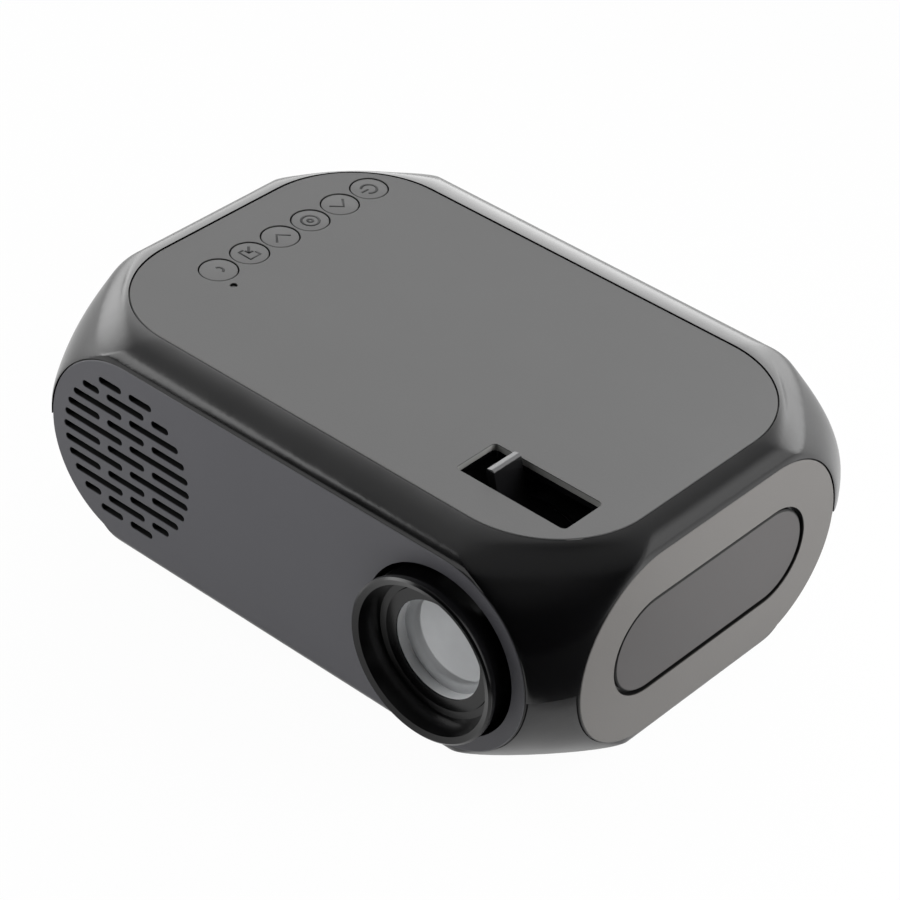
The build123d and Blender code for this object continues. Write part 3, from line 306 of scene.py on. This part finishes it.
def nylonWithPaintedSheen(name, hexText, sheenHex):
    # moulded nylon: satin black; painted sheen: the end of the lever above the top panel is painted
    # paler, for the highlight on its top, and is rougher there
    material, tree, surface = newMaterial(name, {"IOR": plasticIor})
    wobbles = grain(tree, lever["wobble"], lever["wobble detail"])
    wave = maths(tree, "MULTIPLY", maths(tree, "SUBTRACT", wobbles, 0.5), lever["wobble height"])
    level = maths(tree, "ADD", objectPlace(tree).outputs["Z"], wave)
    sheen = remap(tree, level, {"From Min": topFace + lever["sheen from"],
                               "From Max": topFace + lever["sheen to"]})
    # Painted highlight: the lever's top is painted paler.
    tint = mixColours(tree, sheen, linearColour(hexText), linearColour(sheenHex))
    tree.links.new(tint, surface.inputs["Base Color"])
    roughnessFrom(tree, surface, sheen, lever["moulded"], lever["rubbed"])
    return material


finishes = {
    # slot: material, named for what it is really made of and how
    "gloss_shell": polishedAbs("polishedBlackAbs", "#080809", 0.21, 0.002),
    "satin_shell": polishedAbs("satinBlackAbs", "#1a1a1b", 0.3, 0.002),
    "matte_panel": sparkErodedAbs("sparkErodedAbs", "#565656", 0.62),
    "matte_inlay": sparkErodedAbs("sparkErodedInlayAbs", "#4b4949", 0.55),
    "button_matte": sparkErodedAbs("buttonAbs", "#545454", 0.58),
    "lever_moulding": nylonWithPaintedSheen("leverNylon", "#101011", "#5c5c5d"),
    "gloss_barrel": polishedAbs("polishedBlackPolycarbonate", "#070708", 0.2, 0.002, 1.42),
    "black_moulding": sparkErodedAbs("plainBlackAbs", "#1c1c1d", 0.5),
    "foot_rubber": sparkErodedAbs("mouldedRubber", "#161616", 0.8, 0.7, 0.03),
    "steel_screws": drawnMetal("zincPlatedSteel", "#9a9a9c", 0.35),
    "socket_metal": drawnMetal("nickelPlatedSteel", "#bdbcba", 0.3),
    "magnet_steel": sparkErodedAbs("coatedFerrite", "#2a2a2c", 0.6),
    "brass_insert": drawnMetal("turnedBrass", "#c8a45a", 0.3),
    "circuit_board": sparkErodedAbs("solderMask", "#14532c", 0.4, 1.2),
    "clear_acrylic": clearMoulding("mouldedAcrylic", "#f2f6f7", 0.05, 1.49),
    "lens_glass": clearMoulding("polishedLensGlass", "#f4f7f8", 0.02, 1.52),
    "display_glass": polishedAbs("liquidCrystalGlass", "#15161c", 0.1, 0.0),
    "pale_sleeve": sparkErodedAbs("satinPaleAbs", "#e9eaeb", 0.3, 0.8),
    "paper_cone": sparkErodedAbs("coatedPaper", "#1c1c1c", 0.8, 0.5, 0.05),
    "sink_aluminium": drawnMetal("extrudedAluminium", "#c4c5c8", 0.35, (30, 1, 1)),
    "phosphor": sparkErodedAbs("phosphorSilicone", "#e8cf4e", 0.5),
    "front_mirror": drawnMetal("frontCoatedMirror", "#e6e7ea", 0.02),
}


def panelMaterials():
    # node: material name, colour, roughness, then the face's axis and side and its outline
    rim, inlayRim = panelParts["rim"], panelParts["inlay rim"]
    looks = {
        "top_panel": ("sparkErodedTopAbs", "#535353", 0.62,
                      "Z", 1, "XY", rim, panelParts["top corner"]),
        "front_panel": ("sparkErodedFrontAbs", "#56565b", 0.55, "Y", -1, "XZ", rim),
        # Painted light: the end panels have the top's finish, painted lighter for the light that
        # falls on the right end.
        "right_end_panel": ("sparkErodedEndAbs", "#605e5c", 0.5, "X", 1, "YZ", rim),
        "left_end_panel": ("sparkErodedFarEndAbs", "#605e5c", 0.5, "X", -1, "YZ", rim),
        "right_end_inlay": ("sparkErodedInlayFaceAbs", "#474545", 0.55, "X", 1, "YZ", inlayRim),
    }
    made = {}
    for panel, (name, hexText, roughness, *outline) in looks.items():
        window = panelParts["slot window"] if panel == "top_panel" else None
        made[panel] = panelAbs(name, hexText, roughness, panel, panelLook(panel, *outline), window)
    return made


special = panelMaterials() | {
    "status_light_pipe": polishedAbs("smokedAcrylic", "#040405", 0.08, 0.0, 1.3),
    # Painted light: the front lens glass is painted pale grey.
    "front_lens": coatedGlass("coatedLensGlass", "#c2c4c6", 0.15, 0.06, 0.2),
}
slotOf = {part["node"]: part["material_slot"] for part in frame["record"]["subparts"]}
print("materials made")


softening = {"weld": 0.002 * mm, "sharp": radians(30)}


def softEdges():
    # a tree that welds a CAD mesh's loose triangles and smooths all but its real edges
    tree = bpy.data.node_groups.new("softEdges", "GeometryNodeTree")
    tree.interface.new_socket("Geometry", in_out="INPUT", socket_type="NodeSocketGeometry")
    angle = tree.interface.new_socket("Edge Angle", in_out="INPUT", socket_type="NodeSocketFloat")
    tree.interface.new_socket("Geometry", in_out="OUTPUT", socket_type="NodeSocketGeometry")
    start = addNode(tree, "NodeGroupInput")
    welded = addNode(tree, "GeometryNodeMergeByDistance", {"Distance": softening["weld"]},
                     {"Geometry": start})
    smooth = addNode(tree, "GeometryNodeSetShadeSmooth", {"domain": "FACE", "Shade Smooth": True},
                     {"Geometry": welded})
    turn = addNode(tree, "GeometryNodeInputMeshEdgeAngle")
    sharp = addNode(tree, "FunctionNodeCompare",
                    {"data_type": "FLOAT", "operation": "GREATER_THAN"},
                    {"A": turn.outputs["Unsigned Angle"], "B": start.outputs["Edge Angle"]})
    edges = addNode(tree, "GeometryNodeSetShadeSmooth", {"domain": "EDGE", "Shade Smooth": False},
                    {"Geometry": smooth, "Selection": sharp})
    addNode(tree, "NodeGroupOutput", {}, {"Geometry": edges})
    return tree, angle.identifier


edgeTree, edgeAngle = softEdges()
for name, node in frame["nodes"].items():
    node.data.materials.clear()
    node.data.materials.append(special.get(name, finishes[slotOf[name]]))
    modifier = node.modifiers.new("softEdges", "NODES")
    modifier.node_group = edgeTree
    modifier[edgeAngle] = softening["sharp"]
print("CAD nodes dressed")


marks = {
    "stroke": 0.62 * mm,
    "height": 0.05 * mm,
    "sink": 0.02 * mm,
    "size": 2.15 * mm,
    "arc steps": 16,
}


def arc(radius, start, end):
    steps = marks["arc steps"]
    turn = [radians(start + (end - start) * i / steps) for i in range(steps + 1)]
    return [(radius * cos(a), radius * sin(a)) for a in turn]


# Each mark is drawn in units of its size, as seen by someone behind the projector.
markLines = {
    "return_button": [arc(0.5, 190, 350)],
    "source_button": [[(-0.15, -0.7), (-0.85, -0.7), (-0.85, 0.7), (0.85, 0.7), (0.85, 0.1)],
                      [(0.95, -0.8), (0.1, 0.0)], [(0.1, -0.55), (0.1, 0.0), (0.65, 0.0)]],
    "previous_button": [[(-0.55, 1.0), (0.55, 0.0), (-0.55, -1.0)]],
    "select_button": [arc(0.95, 0, 360), arc(0.28, 0, 360)],
    "next_button": [[(0.55, 1.0), (-0.55, 0.0), (0.55, -1.0)]],
    "power_button": [arc(0.85, 130, 410), [(0, 1.1), (0, 0.15)]],
}


def strokeTree():
    # a tree that lays a flat ribbon along lines
    tree = bpy.data.node_groups.new("markStroke", "GeometryNodeTree")
    tree.interface.new_socket("Geometry", in_out="INPUT", socket_type="NodeSocketGeometry")
    sockets = {}
    for name in ("Width", "Height"):
        sockets[name] = tree.interface.new_socket(name, in_out="INPUT",
                                                  socket_type="NodeSocketFloat")
    sockets["Stroke Material"] = tree.interface.new_socket("Stroke Material", in_out="INPUT",
                                               socket_type="NodeSocketMaterial")
    tree.interface.new_socket("Geometry", in_out="OUTPUT", socket_type="NodeSocketGeometry")
    start = addNode(tree, "NodeGroupInput")
    line = addNode(tree, "GeometryNodeMeshToCurve", {}, {"Mesh": start})
    upright = addNode(tree, "GeometryNodeSetCurveNormal", {"mode": "Z_UP"}, {"Curve": line})
    section = addNode(tree, "GeometryNodeCurvePrimitiveQuadrilateral", {},
                      {"Width": start.outputs["Width"], "Height": start.outputs["Height"]})
    ribbon = addNode(tree, "GeometryNodeCurveToMesh", {"Fill Caps": True},
                     {"Curve": upright, "Profile Curve": section})
    real = addNode(tree, "GeometryNodeRealizeInstances", {}, {"Geometry": ribbon})
    withStrokeMaterial = addNode(tree, "GeometryNodeSetMaterial", {},
                    {"Geometry": real, "Material": start.outputs["Stroke Material"]})
    addNode(tree, "NodeGroupOutput", {}, {"Geometry": withStrokeMaterial})
    return tree, {name: socket.identifier for name, socket in sockets.items()}


def plainMesh(piece, name):
    # the evaluated piece as a mesh of its own, with no modifier left
    evaluated = piece.evaluated_get(bpy.context.evaluated_depsgraph_get())
    mesh = bpy.data.meshes.new_from_object(evaluated)
    piece.modifiers.clear()
    piece.data = mesh
    mesh.name = name


def buttonMarks():
    tree, inputs = strokeTree()
    # The marks are dark strokes laid a little proud of the button caps.
    strokeMaterial = sparkErodedAbs("engravedLine", "#1b1b1c", 0.7)
    for button, lines in markLines.items():
        low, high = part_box(button)
        middle = ((low[0] + high[0]) / 2, (low[1] + high[1]) / 2)
        z = high[2] - marks["sink"] + marks["height"] / 2
        points, edges = [], []
        for line in lines:
            first = len(points)
            points += [(middle[0] - u * marks["size"], middle[1] - v * marks["size"], z)
                       for u, v in line]
            edges += [(i, i + 1) for i in range(first, len(points) - 1)]
        mesh = bpy.data.meshes.new(button + "_mark")
        mesh.from_pydata(points, edges, [])
        piece = bpy.data.objects.new(button + "_mark", mesh)
        bpy.context.collection.objects.link(piece)
        modifier = piece.modifiers.new("stroke", "NODES")
        modifier.node_group = tree
        modifier[inputs["Width"]] = marks["stroke"]
        modifier[inputs["Height"]] = marks["height"]
        modifier[inputs["Stroke Material"]] = strokeMaterial
        plainMesh(piece, button + "_mark")
        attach(piece, button)
    print("button marks made")


buttonMarks()


view = {
    "place": (0.36912, -0.43517, 0.45129),  # metres
    "azimuth": 39.975,  # degrees
    "elevation": 36.406,
    "roll": -3.229,
    "lens": 131.46,  # mm
    "sensor": 36,
    "clip start": 0.01,
}


def setCamera():
    azimuth, elevation, roll = (radians(view[k]) for k in ("azimuth", "elevation", "roll"))
    ahead = Vector((-sin(azimuth) * cos(elevation), cos(azimuth) * cos(elevation), -sin(elevation)))
    side = ahead.cross(Vector((0, 0, 1))).normalized()
    down = ahead.cross(side)
    right = side * cos(roll) + down * sin(roll)
    up = -(down * cos(roll) - side * sin(roll))
    data = bpy.data.cameras.new("camera")
    data.lens = view["lens"]
    data.sensor_width = view["sensor"]
    data.sensor_fit = "HORIZONTAL"
    data.clip_start = view["clip start"]
    camera = bpy.data.objects.new("camera", data)
    turn = Matrix((right, up, -ahead)).transposed()
    camera.matrix_world = Matrix.Translation(view["place"]) @ turn.to_4x4()
    bpy.context.collection.objects.link(camera)
    bpy.context.scene.camera = camera


lamps = {
    # name: place, width and height in metres, brightness (white paper is 1)
    "right": ((0.24, 0.08, 0.15), (0.14, 0.14), 9.5),
    "leftFront": ((-0.37, -0.25, 0.24), (0.30, 0.36), 3.0),
}
lampTarget = (0, 0, 0.03)
room = {
    # name: towards, where its edge starts and ends as cosines, brightness (white paper is 1)
    "leftBack": ((-0.78, 0.60, 0.22), 0.82, 0.98, 3.2),
    "leftHigh": ((-0.64, 0.10, 0.72), 0.72, 0.99, 0.3),
    "left": ((-0.95, -0.15, 0.25), 0.80, 0.985, 2.0),
    "back": ((-0.15, 0.97, 0.10), 0.78, 0.97, 2.5),
    "backHigh": ((0.10, 0.80, 0.60), 0.60, 0.97, 0.2),
    "rightBack": ((0.72, 0.66, 0.22), 0.70, 0.97, 1.4),
    "top": ((-0.05, 0.15, 0.98), 0.40, 0.97, 0.3),
}
floor = {
    "reach": 3.0,  # metres
    "material": "whitePaper",
    "shade": 0.75,
    "roughness": 0.9,
    "white": 0.97,  # share of plain white that the eye sees; the rest is lit paper
    "white in gloss": 0.8,
}
blackCard = {
    "low": (0.100, -2.5),  # metres
    "high": (2.9, 0.02),
    "lift": 0.5 * mm,
    "material": "blackCard",
    "shade": 0.01,
    "roughness": 0.9,
}


def softbox(name, place, size, brightness):
    data = bpy.data.lights.new(name, "AREA")
    data.shape = "RECTANGLE"
    data.size, data.size_y = size
    data.energy = brightness * pi * size[0] * size[1]
    lamp = bpy.data.objects.new(name, data)
    lamp.location = place
    aim = Vector(lampTarget) - Vector(place)
    lamp.rotation_euler = aim.to_track_quat("-Z", "Y").to_euler()
    lamp.visible_glossy = name != "right"  # its small square would show in the polish
    bpy.context.collection.objects.link(lamp)


def paperSheet(name, low, high, z, look):
    # a level sheet of paper
    sheet = bpy.data.meshes.new(name)
    corners = [(low[0], low[1], z), (high[0], low[1], z), (high[0], high[1], z),
               (low[0], high[1], z)]
    sheet.from_pydata(corners, [], [(0, 1, 2, 3)])
    piece = bpy.data.objects.new(name, sheet)
    bpy.context.collection.objects.link(piece)
    material, tree, surface = newMaterial(look["material"],
                                          {"Base Color": (look["shade"],) * 3 + (1,),
                                           "Roughness": look["roughness"]})
    sheet.materials.append(material)
    return piece, tree, surface


def seenDirectly(tree):
    # 1 for rays that show the background itself: from the camera or through glass
    path = addNode(tree, "ShaderNodeLightPath")
    direct = maths(tree, "MAXIMUM", path.outputs["Is Camera Ray"],
                   path.outputs["Is Transmission Ray"])
    return path, direct


def setFloor():
    reach = floor["reach"]
    piece, tree, surface = paperSheet("floor", (-reach, -reach), (reach, reach), 0, floor)
    shown = addNode(tree, "ShaderNodeEmission", {"Color": (1, 1, 1, 1), "Strength": 1.0})
    path, direct = seenDirectly(tree)
    straight = maths(tree, "MULTIPLY", direct, floor["white"])
    mirrored = maths(tree, "MULTIPLY", path.outputs["Is Glossy Ray"], floor["white in gloss"])
    share = maths(tree, "MAXIMUM", straight, mirrored)
    both = addNode(tree, "ShaderNodeMixShader", {}, {0: share, 1: surface, 2: shown})
    output = [n for n in tree.nodes if n.type == "OUTPUT_MATERIAL"][0]
    tree.links.new(both.outputs[0], output.inputs["Surface"])


def setBlackCard():
    # a black card beside the near corner, which only reflections show: the polish stays black
    piece = paperSheet("blackCard", blackCard["low"], blackCard["high"], blackCard["lift"],
                       blackCard)[0]
    piece.visible_camera = False
    piece.visible_diffuse = False
    piece.visible_transmission = False
    piece.visible_shadow = False


def setWorld():
    world = bpy.data.worlds.new("studio")
    world.use_nodes = True
    tree = world.node_tree
    tree.nodes.clear()
    place = addNode(tree, "ShaderNodeTexCoord")
    walls = None
    for towards, edgeFrom, edgeTo, brightness in room.values():
        aim = addNode(tree, "ShaderNodeVectorMath",
                      {"operation": "DOT_PRODUCT", 1: Vector(towards).normalized()},
                      {0: place.outputs["Generated"]})
        glow = remap(tree, aim.outputs["Value"],
                     {"interpolation_type": "SMOOTHSTEP", "From Min": edgeFrom,
                      "From Max": edgeTo, "To Max": brightness})
        walls = maths(tree, "ADD", walls, glow) if walls else glow
    direct = seenDirectly(tree)[1]
    level = addNode(tree, "ShaderNodeMix", {"data_type": "FLOAT", 3: 1.0}, {0: direct, 2: walls})
    back = addNode(tree, "ShaderNodeBackground", {"Color": (1, 1, 1, 1)}, {"Strength": level})
    addNode(tree, "ShaderNodeOutputWorld", {}, {"Surface": back})
    bpy.context.scene.world = world


setCamera()
setFloor()
setBlackCard()
setWorld()
for name, (place, size, brightness) in lamps.items():
    softbox(name, place, size, brightness)
bpy.context.scene.view_settings.view_transform = "Standard"
print("camera, floor and light set")
